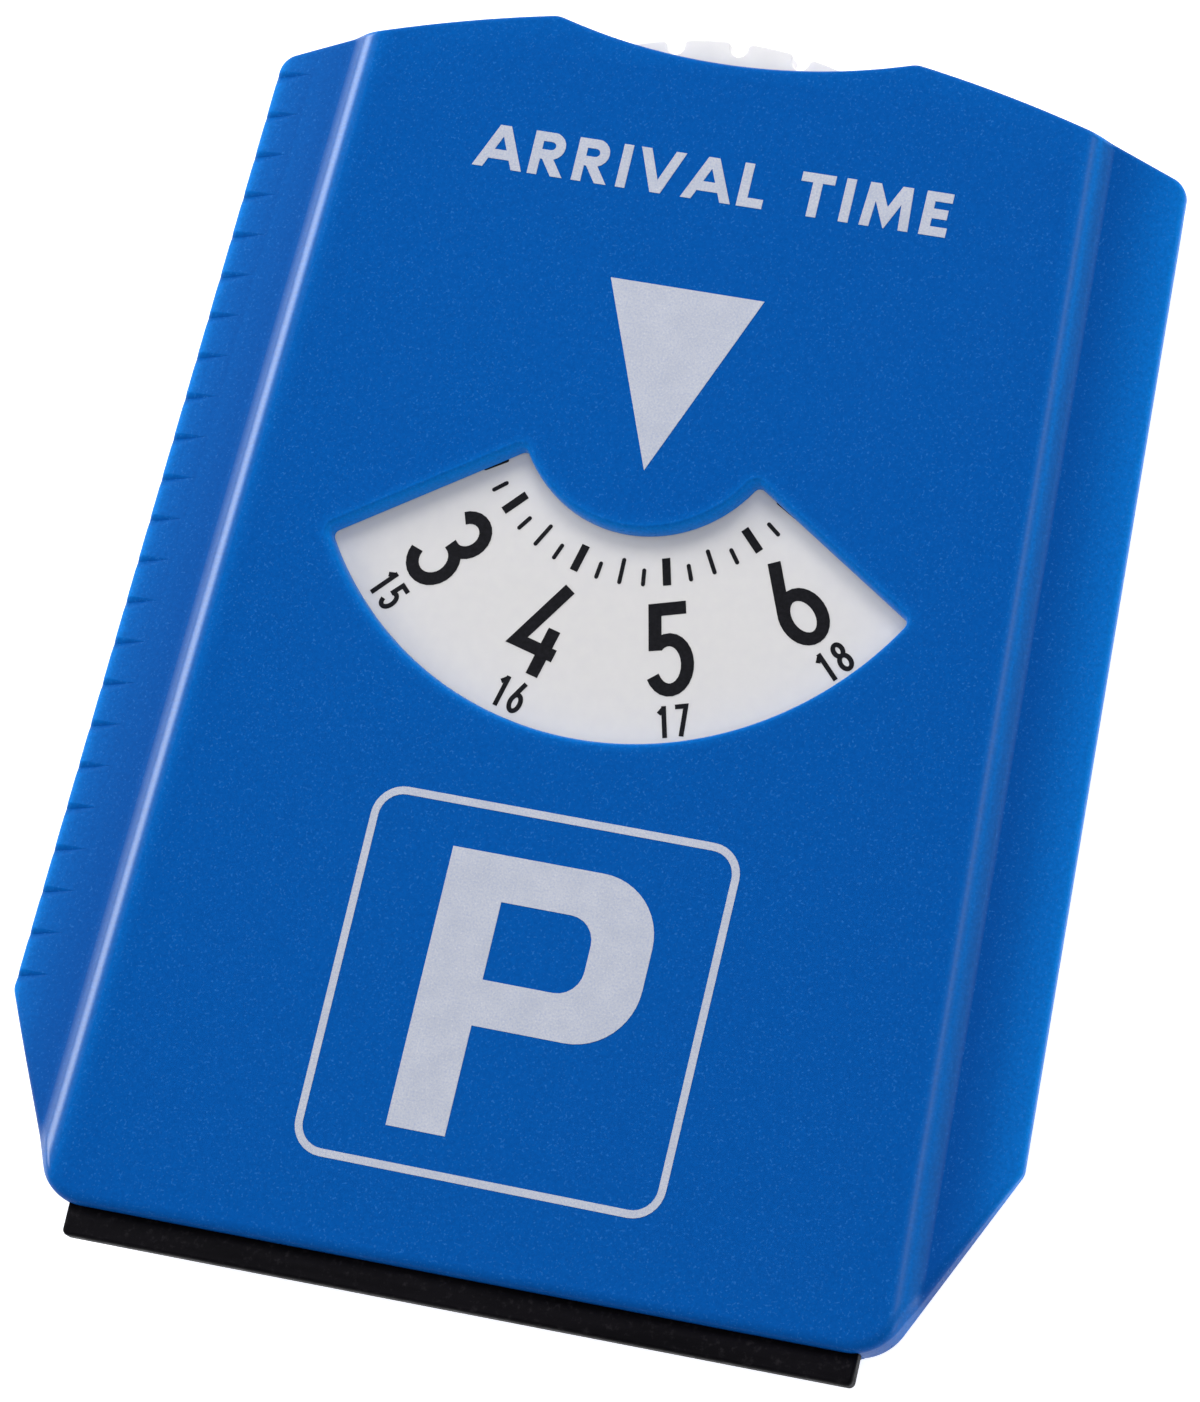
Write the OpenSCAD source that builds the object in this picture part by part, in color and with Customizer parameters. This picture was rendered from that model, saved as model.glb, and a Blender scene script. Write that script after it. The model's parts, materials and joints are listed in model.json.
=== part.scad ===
// Parking disc with ice scraper wings, a turning time dial and a rubber squeegee lip.
// Lies on its back: +Z out of the front face, +Y towards the finger dip at the top.

/* [Body] */
// Thickness of the closed body
body_t = 9; // [8:0.5:12]
// Height of the parting plane between the two covers
split_z = 4; // [3.8:0.1:4.2]
// Wall and plate thickness of the covers
wall_t = 2; // [1.6:0.1:2.2]
// Half width of the raised face, level with the dial's axis
face_half_w = 45.2; // [44.8:0.1:46.5]
// Taper of the long sides, wider at the lip
side_taper = 2.63; // [2:0.01:3]
// Depth of the finger dip in the top edge
dip_depth = 3.1; // [2:0.1:4]

/* [Scraper wings] */
// Width of the bevel that steps down from the face to a wing
step_run = 2.1; // [1.5:0.1:2.5]
// Drop of that bevel
step_drop = 1.4; // [1:0.1:1.6]
// Fall of a wing's top surface, from the step to the edge
wing_fall = 1.9; // [1.5:0.1:2.2]
// Number of scoring teeth along the left wing
notch_count = 23; // [10:1:23]
// Spacing of the scoring teeth
notch_pitch = 5; // [4:0.05:5]
// Depth of a scoring tooth at the edge
notch_depth = 0.4; // [0.3:0.1:0.6]

/* [Window] */
// Inner radius of the window
window_r_in = 15.9; // [14:0.1:17]
// Outer radius of the window
window_r_out = 40.4; // [39.5:0.1:41.5]
// Half angle of the window at its outer radius
window_half_angle = 58.5; // [50:0.1:59]

/* [Dial] */
// Outer radius of the dial's grip rim
dial_r = 43.8; // [43.6:0.1:44.2]
// Thickness of the dial's plate
dial_t = 1.4; // [1:0.1:1.8]
// Height of the grip rim
rim_h = 3; // [2.4:0.1:3.2]
// Number of grip notches round the rim
rim_notches = 36; // [24:12:72]
// Radius of the hub boss that the dial turns on
boss_r = 4; // [3:0.5:5]
// Clock angle of the dial at rest, of its 5 mark from straight down
dial_rest = 15; // [0:1:30]

/* [Squeegee lip] */
// Half length of the rubber lip
lip_half_l = 46.3; // [40:0.1:46.5]
// Thickness of the rubber blade
lip_t = 2.2; // [1.8:0.1:2.4]
// How far the blade stands out of the body
lip_out = 3.5; // [3:0.1:5]

/* [Prints] */
// Sideways offset of the silver print from the body's centre line
print_shift = 0.9; // [-1:0.1:1]
// Small turn of the silver print on the face
print_turn = -0.65; // [-1:0.05:1]
// Thickness of every printed layer
ink_t = 0.05; // [0.03:0.01:0.1]

/* [Hidden] */
$fn = 96;
far = 200;
BLUE = [0.02, 0.33, 0.67];
DEEP_BLUE = [0.02, 0.30, 0.62];
WHITE = [0.91, 0.91, 0.91];
BLACK = [0.06, 0.06, 0.07];
SILVER = [0.76, 0.77, 0.82];

dial_y = 31;
body_bottom_y = dial_y - 102.6;
ridge = [21.5, dial_y + 43.3];
shoulder = [44.5, dial_y + 37.9];
wing_top = [54.5, dial_y + 34.5];
wing_bottom = [59.6, dial_y - 79.4];
heel = [48.5, body_bottom_y];
shoulder_bulge = 0.4;
dip_y = ridge[1] - dip_depth;
dip_r = (ridge[0] * ridge[0] + dip_depth * dip_depth) / (2 * dip_depth);
wing_w = 10.8;
core_margin = step_run + 0.3;
rear_inset = 2;
window_spread = 1.4;

clear = 0.3;
plate_under_z = body_t - wall_t;
dial_top_z = body_t - 3;
dial_under_z = dial_top_z - dial_t;
rim_under_z = dial_top_z - rim_h;
pocket_r = dial_r + 0.5;
floor_z = 1.6;
hub_r = 7;
boss_fit = 0.05;
boss_pin_r = 1.5;
boss_pin_l = 0.9;
notch_r = 1.05;
notch_phase = 5.35;

lip_z = body_t - 2.6;
lip_root_out = 1.95;
lip_root_in = 4.15;
lip_root_t = 3.1;
lip_fit = 0.05;
lip_end_gap = 0.1;

pin_r = 1.5;
pin_fit = 0.05;
pin_l = 1.8;
pin_points = [[40.5, dial_y + 31.5], [44, dial_y - 52], [41, dial_y - 92]];

tick_r = 21.6;
tick_w = 0.95;
thin_tick_w = 0.48;
numeral_r = 23.6;
numeral_h = 11;
numeral_w = 5.5;
numeral_s = 1.5;
small_r = 35.6;
small_h = 3.8;
small_w = 1.75;
small_s = 0.55;

// ---------- outlines ----------

// Points of an arc, from angle a0 to a1, centred at c
function arc(c, rx, ry, a0, a1, n) =
    [for (i = [0:n]) let (a = a0 + (a1 - a0) * i / n) [c[0] + rx * cos(a), c[1] + ry * sin(a)]];

// Points that round the corner b of the path a-b-c to radius r
function corner(a, b, c, r, n = 8) =
    let (u = (a - b) / norm(a - b), v = (c - b) / norm(c - b),
         half = acos(u * v) / 2, reach = r / tan(half),
         m = b + (u + v) / norm(u + v) * r / sin(half),
         p = b + u * reach - m, q = b + v * reach - m,
         a0 = atan2(p[1], p[0]), turn = atan2(q[1], q[0]) - a0,
         sweep = turn > 180 ? turn - 360 : turn < -180 ? turn + 360 : turn)
    arc(m, r, r, a0, a0 + sweep, n);

function flip(points) = [for (i = [len(points) - 1:-1:0]) [-points[i][0], points[i][1]]];

// Right half of the body's outline, from the ridge down to the heel
right_side = concat(
    corner([0, dip_y], ridge, shoulder, 3, 4),
    [for (t = [0.25:0.25:1]) ridge + (shoulder - ridge) * t + [0, 4 * shoulder_bulge * t * (1 - t)]],
    corner(shoulder, wing_top, wing_bottom, 2.5),
    corner(wing_top, wing_bottom, heel, 2, 4),
    corner(wing_bottom, heel, [0, body_bottom_y], 6));

// The finger dip's arc, between the two ridges
dip_arc = [for (i = [-9:9]) let (x = i * 2.1)
    [x, dip_y + dip_r - sqrt(dip_r * dip_r - x * x)]];

module body_outline() {
    polygon(concat(dip_arc, right_side, flip(right_side)));
}

// The region between the heel's slants, each moved inwards by rear_inset
module between_slants() {
    slant = unit(wing_bottom - heel);
    foot = [heel[0] - rear_inset / slant[1], body_bottom_y];
    right = concat([foot + far * slant], corner(foot + far * slant, foot, [0, body_bottom_y], 5));
    polygon(concat(right, flip(right)));
}

// The region between the two tapered lines that pass x = +-half_w beside the dial's axis
module tapered_band(half_w) {
    reach = far * tan(side_taper);
    polygon([[-half_w - reach, dial_y - far], [half_w + reach, dial_y - far],
             [half_w - reach, dial_y + far], [-half_w + reach, dial_y + far]]);
}

// The window's shape, grown by margin; its straight sides spread a little more at the inner radius
module window_shape(margin) {
    tip_out = window_r_out * [sin(window_half_angle), -cos(window_half_angle)];
    tip_in = window_r_in * [sin(window_half_angle + window_spread), -cos(window_half_angle + window_spread)];
    along = unit(tip_out - tip_in);
    start = tip_in - 6 * along + margin * left_of(along);
    finish = tip_out + far * along + margin * left_of(along);
    right = [start, finish, [far, -2 * far]];
    intersection() {
        difference() {
            circle(window_r_out + margin);
            circle(window_r_in - margin);
        }
        polygon(concat(right, flip(right)));
    }
}

function rounded_box(w, h, r) =
    [for (k = [0:3]) let (sx = k == 0 || k == 3 ? 1 : -1, sy = k < 2 ? 1 : -1)
        each arc([sx * (w / 2 - r), sy * (h / 2 - r)], r, r, 90 * k, 90 * k + 90, 8)];

// ---------- stroke lettering ----------

function unit(v) = v / norm(v);
function left_of(v) = [-v[1], v[0]];

// Offset at point i of an open path, mitred at corners
function side(path, i) =
    let (n = len(path),
         d0 = i > 0 ? unit(path[i] - path[i - 1]) : unit(path[1] - path[0]),
         d1 = i < n - 1 ? unit(path[i + 1] - path[i]) : d0)
    (left_of(d0) + left_of(d1)) / (1 + d0 * d1);

module stroke(path, s) {
    last = len(path) - 1;
    polygon(concat([for (i = [0:last]) path[i] + side(path, i) * s / 2],
                   [for (i = [last:-1:0]) path[i] - side(path, i) * s / 2]));
}

// A closed stroke round a loop of points
module loop(points, s) {
    n = len(points);
    across = [for (i = [0:n - 1])
        let (d0 = unit(points[i] - points[(i + n - 1) % n]), d1 = unit(points[(i + 1) % n] - points[i]))
        (left_of(d0) + left_of(d1)) / (1 + d0 * d1)];
    difference() {
        polygon([for (i = [0:n - 1]) points[i] - across[i] * s / 2]);
        polygon([for (i = [0:n - 1]) points[i] + across[i] * s / 2]);
    }
}

// A glyph is two lists, of open paths and of anticlockwise loops, in a unit box stretched to w by h
module glyph(paths, w, h, s) {
    function fit(points) = [for (p = points) [s / 2 + p[0] * (w - s), s / 2 + p[1] * (h - s)]];
    for (path = paths[0])
        stroke(fit(path), s);
    for (points = paths[1])
        loop(fit(points), s);
}

// An ellipse as a loop of n points
function oval(c, rx, ry, n = 28) = [for (i = [0:n - 1]) c + [rx * cos(360 * i / n), ry * sin(360 * i / n)]];

function half_turn(paths) = [for (path = paths) [for (p = path) [1 - p[0], 1 - p[1]]]];

SIX_STEM = [[[0.66, 1.07], [0.085, 0.47]]];
SIX_BOWL = [oval([0.5, 0.3], 0.5, 0.3)];

// Open paths and loops of the figures 0 to 9
DIGITS = [
    [[], [concat(arc([0.5, 0.74], 0.5, 0.26, 0, 180, 14), arc([0.5, 0.26], 0.5, 0.26, 180, 360, 14))]],
    [[[[0.60, 1.07], [0.60, -0.07]], [[0.10, 0.80], [0.58, 0.98]]], []],
    [[concat([[0.0, 0.66]], arc([0.5, 0.74], 0.5, 0.26, 172, -28, 16), [[0.04, 0.02], [1.1, 0.02]])], []],
    [[arc([0.49, 0.765], 0.5, 0.235, 158, -76, 16), arc([0.49, 0.27], 0.58, 0.27, 98, -160, 18)], []],
    [[[[0.68, 1.07], [-0.06, 0.25], [1.17, 0.25]], [[0.83, 0.54], [0.83, -0.07]]], []],
    [[[[1.02, 1.0], [0.12, 1.0], [0.08, 0.50]], arc([0.47, 0.31], 0.53, 0.31, 128, -156, 20)], []],
    [SIX_STEM, SIX_BOWL],
    [[[[-0.1, 1.0], [0.95, 1.0], [0.36, -0.07]]], []],
    [[], [oval([0.5, 0.77], 0.42, 0.23), oval([0.5, 0.27], 0.5, 0.27)]],
    [half_turn(SIX_STEM), half_turn(SIX_BOWL)]];

module number(value, w, h, s) {
    tens = floor(value / 10);
    digits = tens > 0 ? [tens, value % 10] : [value];
    gap = s * 0.75;
    advance = w + gap;
    for (i = [0:len(digits) - 1])
        translate([i * advance - (len(digits) * advance - gap) / 2, 0])
            glyph(DIGITS[digits[i]], w, h, s);
}

// Stands a 2D child upright at radius r and hour position h, its foot outwards
module at_hour(h, r) {
    angle = dial_rest + 30 * (h - 5);
    translate([0, dial_y])
        rotate(angle)
            translate([0, -r]) children();
}

// Open paths of the capital letters; their ends run past the cap height and are trimmed to it
STEM = [[0, -0.2], [0, 1.2]];
BOWL = concat([[0, 1.01]], arc([0.55, 0.745], 0.38, 0.265, 90, -90, 10), [[0, 0.48]]);
LETTER_A = [[[-0.16, -0.2], [0.5, 1.16], [1.16, -0.2]], [[0.15, 0.27], [0.85, 0.27]]];
LETTER_R = [STEM, BOWL, [[0.40, 0.46], [1.10, -0.24]]];
LETTER_I = [STEM];
LETTER_V = [[[-0.12, 1.2], [0.5, -0.14], [1.12, 1.2]]];
LETTER_L = [[[0, 1.2], [0, -0.01], [1.2, -0.01]]];
LETTER_T = [[[-0.2, 1.01], [1.2, 1.01]], [[0.5, 1], [0.5, -0.2]]];
LETTER_M = [[[0, -0.2], [0.08, 1.16], [0.5, 0.16], [0.92, 1.16], [1, -0.2]]];
LETTER_E = [[[1.2, 1.01], [0, 1.01], [0, -0.01], [1.2, -0.01]], [[0, 0.51], [1.08, 0.51]]];

// The title's letters, each with its width; an empty letter is the word space
TITLE = [[4.9, LETTER_A], [4.1, LETTER_R], [4.1, LETTER_R], [1.2, LETTER_I], [4.7, LETTER_V],
         [4.9, LETTER_A], [3.2, LETTER_L], [1.2, []],
         [4.0, LETTER_T], [1.2, LETTER_I], [5.8, LETTER_M], [3.3, LETTER_E]];
title_gap = 1.25;
title_h = 5.2;
title_s = 1.15;

function title_x(i) = i == 0 ? 0 : title_x(i - 1) + TITLE[i - 1][0] + title_gap;

// ---------- printed layers ----------

module print_layer() {
    color(SILVER)
        translate([0, 0, body_t])
            linear_extrude(ink_t)
                translate([print_shift, dial_y]) rotate(print_turn) children();
}

module dial_layer() {
    color(BLACK)
        translate([0, 0, dial_top_z]) linear_extrude(ink_t) children();
}

// Thin marks with round ends
module round_marks(hours, l) {
    r = thin_tick_w / 2;
    dial_layer()
        for (h = hours)
            at_hour(h, tick_r)
                polygon(concat(arc([0, l - r], r, r, 0, 180, 8), arc([0, r], r, r, 180, 360, 8)));
}

module dial_hour_numerals() {
    dial_layer()
        for (h = [1:12])
            at_hour(h, numeral_r + numeral_h) number(h, numeral_w, numeral_h, numeral_s);
}

module dial_24h_numerals() {
    dial_layer()
        for (h = [13:24])
            at_hour(h, small_r + small_h) number(h, small_w, small_h, small_s);
}

module dial_hour_ticks() {
    dial_layer()
        for (h = [1:12])
            at_hour(h, tick_r) translate([-tick_w / 2, 0]) square([tick_w, 3.2]);
}

module dial_half_hour_ticks() {
    round_marks([1.5:12.5], 3.1);
}

module dial_quarter_ticks() {
    round_marks([1.25:0.5:12.75], 2.1);
}

module title_print() {
    width = title_x(len(TITLE) - 1) + TITLE[len(TITLE) - 1][0];
    print_layer()
        for (i = [0:len(TITLE) - 1])
            translate([title_x(i) - width / 2, 23.6])
                difference() {
                    glyph([TITLE[i][1], []], TITLE[i][0], title_h, title_s);
                    for (y = [-title_h, title_h])
                        translate([-title_s, y]) square([TITLE[i][0] + 2 * title_s, title_h]);
                }
}

module arrow_print() {
    half_w = 9.2;
    print_layer() polygon([[-half_w, 12.9], [half_w, 12.9], [0, -8.8]]);
}

module sign_frame_print() {
    line = 0.9;
    print_layer()
        translate([0, -71])
            difference() {
                polygon(rounded_box(43.6, 43, 3.7));
                polygon(rounded_box(43.6 - 2 * line, 43 - 2 * line, 3.7 - line));
            }
}

module sign_letter_print() {
    stem = 7;
    bar = 5.3;
    w = 25.3;
    h = 32.4;
    bowl_h = 19.6;
    r = 7.4;
    print_layer()
        translate([-11.4, -87.6])
            difference() {
                polygon(concat([[0, 0], [stem, 0], [stem, h - bowl_h]],
                               arc([w - r, h - bowl_h + r], r, r, -90, 0, 12),
                               arc([w - r, h - r], r, r, 0, 90, 12), [[0, h]]));
                polygon(concat([[stem, h - bar], [stem, h - bowl_h + bar]],
                               arc([w - stem - 3, h - bowl_h + bar + 3], 3, 3, -90, 0, 6),
                               arc([w - stem - 3, h - bar - 3], 3, 3, 0, 90, 6)));
            }
}

// ---------- covers ----------

// Everything below the right half's face, bevel and wing surface, as one long tapered prism
module under_right_profile() {
    foot_x = face_half_w + step_run;
    foot_z = body_t - step_drop;
    slope = wing_fall / (wing_w - step_run);
    out = 30;
    translate([0, dial_y, 0])
        rotate([90, 0, 0])
            translate([0, 0, -far / 2])
                linear_extrude(far)
                    polygon([[-far, 0], [-far, body_t], [face_half_w, body_t], [foot_x, foot_z],
                             [foot_x + out, foot_z - slope * out], [foot_x + out, 0]]);
}

// Turns the right profile to follow the tapered side
module right_side_of_body() {
    translate([face_half_w, dial_y, 0])
        rotate(side_taper)
            translate([-face_half_w, -dial_y, 0]) under_right_profile();
}

module scoring_notches() {
    edge_x = wing_bottom[0] - (wing_bottom[0] - wing_top[0]) * (dial_y - wing_bottom[1])
             / (wing_top[1] - wing_bottom[1]);
    edge_z = body_t - step_drop - wing_fall;
    wing_angle = atan(wing_fall / (wing_w - step_run));
    reach = 3.7;
    ramp = 2.2;
    first_y = 32.9;
    translate([-edge_x, dial_y, edge_z])
        rotate(-side_taper)
            rotate([0, -wing_angle, 0])
                for (i = [0:notch_count - 1])
                    translate([0, first_y - i * notch_pitch, -notch_depth])
                        rotate([-atan(notch_depth / ramp), -atan(notch_depth / reach), 0])
                            translate([-5, -notch_pitch, 0]) cube([12, notch_pitch, 3]);
}

// The hollow that holds the dial, with a low wall left under the finger dip
module dial_hollow(z0, z1, behind_wall) {
    intersection() {
        translate([0, dial_y, z0]) cylinder(r = pocket_r, h = z1 - z0);
        translate([-far, -far, z0 - 1])
            cube([2 * far, behind_wall ? far + dip_y - wall_t : 2 * far, z1 - z0 + 2]);
    }
}

// The hollow below the dial, which ends above the lip's clamp
module lower_hollow(z0, z1) {
    translate([0, 0, z0])
        linear_extrude(z1 - z0)
            intersection() {
                tapered_band(face_half_w - 1.2);
                translate([-far, body_bottom_y + 6.2]) square([2 * far, dial_y - 30 - body_bottom_y - 6.2]);
            }
}

// The seat of the lip and its thick root in the front cover, open below for the rear cover's rail
module lip_seat() {
    l = 2 * (lip_half_l + lip_fit);
    translate([-l / 2, body_bottom_y - 5, split_z - 1])
        cube([l, 5 + lip_root_out + lip_fit, lip_z + lip_t / 2 + lip_fit - split_z + 1]);
    translate([-l / 2, body_bottom_y + lip_root_out - lip_fit, split_z - 1])
        cube([l, lip_root_in - lip_root_out + 2 * lip_fit, lip_z + lip_root_t / 2 + lip_fit - split_z + 1]);
}

// The rear cover's rail that holds the lip in its seat, lower under the root
module lip_rail() {
    half_l = lip_half_l - lip_end_gap;
    difference() {
        linear_extrude(lip_z - lip_t / 2 - lip_fit)
            intersection() {
                between_slants();
                translate([-half_l, body_bottom_y])
                    square([2 * half_l, lip_root_in]);
            }
        translate([-far, body_bottom_y + lip_root_out - lip_fit, lip_z - lip_root_t / 2 - lip_fit])
            cube([2 * far, far, far]);
    }
}

module at_pins() {
    for (p = pin_points, sx = [-1, 1])
        translate([sx * p[0], p[1], 0]) children();
}

module front_cover() {
    rib_x = 15;
    skirt = 1.5;
    skirt_gap = 0.5;
    color(BLUE)
        union() {
            difference() {
                intersection() {
                    translate([0, 0, split_z]) linear_extrude(body_t - split_z) body_outline();
                    right_side_of_body();
                    mirror([1, 0, 0]) right_side_of_body();
                }
                scoring_notches();
                dial_hollow(split_z - 1, dial_top_z + clear, false);
                dial_hollow(dial_top_z, plate_under_z, true);
                lower_hollow(split_z - 1, plate_under_z);
                lip_seat();
                translate([0, dial_y, plate_under_z - 1])
                    cylinder(r = boss_pin_r + boss_fit, h = 1 + boss_pin_l + 0.1);
                translate([0, dial_y, split_z])
                    linear_extrude(body_t) window_shape(0);
            }
            // Skirt round the window, close above the dial
            translate([0, dial_y, dial_top_z + skirt_gap])
                linear_extrude(plate_under_z - dial_top_z)
                    difference() {
                        window_shape(skirt);
                        window_shape(0);
                    }
            // Long ribs under the plate
            for (sx = [-1, 1])
                translate([sx * rib_x - 0.6, body_bottom_y + 6, split_z + 0.2])
                    cube([1.2, 47, plate_under_z - split_z]);
            // Pins that locate the covers
            at_pins()
                translate([0, 0, split_z - pin_l]) cylinder(r = pin_r, h = plate_under_z - split_z + pin_l + 0.5);
        }
}

module rear_cover() {
    color(DEEP_BLUE)
        union() {
            difference() {
                linear_extrude(split_z)
                    intersection() {
                        body_outline();
                        between_slants();
                        tapered_band(face_half_w + core_margin);
                    }
                dial_hollow(rim_under_z - clear, split_z + 1, false);
                dial_hollow(floor_z, rim_under_z, true);
                lower_hollow(floor_z, split_z + 1);
                at_pins()
                    translate([0, 0, split_z - pin_l - 0.2])
                        cylinder(r = pin_r + pin_fit, h = pin_l + 1);
            }
            lip_rail();
            // Boss that the dial turns on, with a pin into the front plate
            translate([0, dial_y, floor_z - 0.5])
                cylinder(r = boss_r, h = plate_under_z - floor_z + 0.5);
            translate([0, dial_y, plate_under_z - 0.5])
                cylinder(r = boss_pin_r, h = 0.5 + boss_pin_l);
            // Walls round the sockets, where they stand in the hollow
            for (p = [pin_points[1], pin_points[2]], sx = [-1, 1])
                translate([sx * p[0], p[1], 0])
                    difference() {
                        cylinder(r = pin_r + 1.4, h = split_z);
                        translate([0, 0, split_z - pin_l - 0.2]) cylinder(r = pin_r + pin_fit, h = pin_l + 1);
                    }
        }
}

// ---------- moving dial and lip ----------

module time_dial() {
    notch_centre = dial_r - 0.65;
    rim_in = dial_r - 4.5;
    hub_top_z = plate_under_z - clear;
    color(WHITE)
        translate([0, dial_y, 0])
            difference() {
                union() {
                    translate([0, 0, dial_under_z]) cylinder(r = dial_r, h = dial_t);
                    translate([0, 0, rim_under_z])
                        difference() {
                            cylinder(r = dial_r, h = rim_h);
                            translate([0, 0, -1]) cylinder(r = rim_in, h = rim_h);
                        }
                    translate([0, 0, floor_z + clear]) cylinder(r = hub_r, h = hub_top_z - floor_z - clear);
                }
                cylinder(r = boss_r + boss_fit, h = body_t);
                for (i = [0:rim_notches - 1])
                    rotate(dial_rest + notch_phase + i * 360 / rim_notches) {
                        translate([0, -notch_centre, 0]) cylinder(r = notch_r, h = body_t);
                        translate([-notch_r, -notch_centre - 2, 0]) cube([2 * notch_r, 2, body_t]);
                    }
            }
}

module squeegee_lip() {
    y_tip = body_bottom_y - lip_out;
    round_r = 0.7;
    color(BLACK)
        union() {
            translate([0, 0, lip_z - lip_t / 2])
                linear_extrude(lip_t)
                    polygon(concat(
                        [[-lip_half_l, body_bottom_y + lip_root_out]],
                        arc([-lip_half_l + round_r, y_tip + round_r], round_r, round_r, 180, 270, 5),
                        arc([lip_half_l - round_r, y_tip + round_r], round_r, round_r, 270, 360, 5),
                        [[lip_half_l, body_bottom_y + lip_root_out]]));
            translate([-lip_half_l, body_bottom_y + lip_root_out, lip_z - lip_root_t / 2])
                cube([2 * lip_half_l, lip_root_in - lip_root_out, lip_root_t]);
        }
}

front_cover();
rear_cover();
time_dial();
squeegee_lip();
dial_hour_numerals();
dial_24h_numerals();
dial_hour_ticks();
dial_half_hour_ticks();
dial_quarter_ticks();
title_print();
arrow_print();
sign_frame_print();
sign_letter_print();
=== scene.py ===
import json
import math

import bpy
import numpy as np
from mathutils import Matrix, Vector, geometry


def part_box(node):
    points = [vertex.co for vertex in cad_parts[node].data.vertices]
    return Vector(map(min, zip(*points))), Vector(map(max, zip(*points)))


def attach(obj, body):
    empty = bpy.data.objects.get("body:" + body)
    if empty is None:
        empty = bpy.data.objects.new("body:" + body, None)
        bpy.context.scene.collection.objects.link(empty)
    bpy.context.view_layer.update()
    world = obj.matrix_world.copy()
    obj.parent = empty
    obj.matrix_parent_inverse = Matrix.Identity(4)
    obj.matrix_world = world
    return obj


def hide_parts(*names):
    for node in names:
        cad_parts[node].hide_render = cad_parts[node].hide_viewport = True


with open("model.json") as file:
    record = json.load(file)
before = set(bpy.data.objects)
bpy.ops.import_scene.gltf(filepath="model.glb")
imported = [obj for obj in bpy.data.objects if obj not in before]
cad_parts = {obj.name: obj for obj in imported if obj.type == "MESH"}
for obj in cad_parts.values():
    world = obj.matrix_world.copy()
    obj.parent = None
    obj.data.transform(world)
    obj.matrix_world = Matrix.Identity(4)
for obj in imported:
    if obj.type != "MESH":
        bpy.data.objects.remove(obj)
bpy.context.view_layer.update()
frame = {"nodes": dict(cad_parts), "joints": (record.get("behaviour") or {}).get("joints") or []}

MM = 0.001
NODES = frame["nodes"]

# ---------------------------------------------------------------- dimensions, in millimetres
# The frame gives the dial's axis, the heights of the printed faces and the box of the lip.
AXIS_Y = frame["joints"][0]["pos_m"][1] / MM
FACE_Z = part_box("front_cover")[1][2] / MM
DIAL_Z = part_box("dial_hour_ticks")[0][2] / MM
LIP_LOW, LIP_HIGH = ([c / MM for c in corner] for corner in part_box("squeegee_lip"))
SPLIT_Z = 4.0

# The outline's corners on the right side, each with the radius that rounds it.
BOTTOM_Y = AXIS_Y - 102.6
RIDGE = (21.5, AXIS_Y + 43.3)
SHOULDER = (44.5, AXIS_Y + 37.9)
WING_TOP = (54.5, AXIS_Y + 34.5)
WING_BOTTOM = (59.6, AXIS_Y - 79.4)
HEEL = (48.5, BOTTOM_Y)
RIDGE_R, SHOULDER_R, WING_TOP_R, WING_BOTTOM_R, HEEL_R = 3, 2, 2.5, 2, 6
SHOULDER_BULGE = 0.4
BOTTOM_HALF = 30
FAR_X, FAR_Y = 60, BOTTOM_Y - 5                         # well outside the case
DIP_Y, DIP_HALF = AXIS_Y + 40.2, 20.3
DIP_R = (RIDGE[0] ** 2 + (RIDGE[1] - DIP_Y) ** 2) / (2 * (RIDGE[1] - DIP_Y))

# The face and the long steps beside it, which follow the taper of the case, and the wings.
FACE_HALF = 45.2
TAPER = math.radians(2.63)
STEP_RUN, STEP_DROP = 2.1, 1.4
CREASE, FOOT_CREASE = 0.85, 0.4
WING_SLOPE = 1.9 / 8.7
EDGE_R, EDGE_R_MORE, EDGE_LOW_Y, EDGE_LOW_RUN = 0.7, 0.75, -52, 17
SEAM_EDGE = 0.25

# The window: two radii, half its angle, how much more it opens at the inner radius, its corners.
WINDOW_IN, WINDOW_OUT, WINDOW_HALF, WINDOW_SPREAD = 15.9, 40.4, 58.5, 1.4
WINDOW_CORNER, WINDOW_STEPS = 0.8, 72
WINDOW_EDGE, WINDOW_EDGE_DEPTH = 0.75, 1.7

# Inside the case: the dial's pocket, the hollow below it, the ribs, pins, posts and boss.
POCKET_R, POCKET_WALL_Y = 44.5, DIP_Y - 2.0
PLATE_Z, SKIRT_Z, RIM_ROOF_Z, FLOOR_Z, RIM_FLOOR_Z = 7.0, 6.5, 6.3, 1.6, 2.7
SKIRT = 1.5
HOLLOW_EDGE, HOLLOW_Y0, HOLLOW_Y1 = 1.2, BOTTOM_Y + 6.2, AXIS_Y - 30
RIB_X, RIB_HALF, RIB_Y0, RIB_Y1, RIB_Z = 15, 0.6, BOTTOM_Y + 6, BOTTOM_Y + 53, SPLIT_Z + 0.2
PINS = [(40.5, AXIS_Y + 31.5), (44.0, AXIS_Y - 52.0), (41.0, AXIS_Y - 92.0)]
PIN_R, PIN_TIP_Z = 1.5, 2.2
SOCKET_R, SOCKET_Z, POST_R = 1.55, 2.0, 2.9
BOSS_R, SPIGOT_R, SPIGOT_Z = 4.0, 1.5, 7.9
SPIGOT_HOLE_R, SPIGOT_HOLE_Z = 1.55, 8.0

# The scoring teeth down the left wing.
NOTCHES, NOTCH_PITCH, NOTCH_DEPTH, NOTCH_REACH, NOTCH_TOP = 23, 5.0, 0.4, 4.6, 32.9
NOTCH_RAMP, NOTCH_WALL = 2.2, 0.9
NOTCH_RIM_SHARE, NOTCH_RIM_RUN, NOTCH_POWER = 0.4, 0.9, 1.2
NOTCH_PAST = -1

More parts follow.
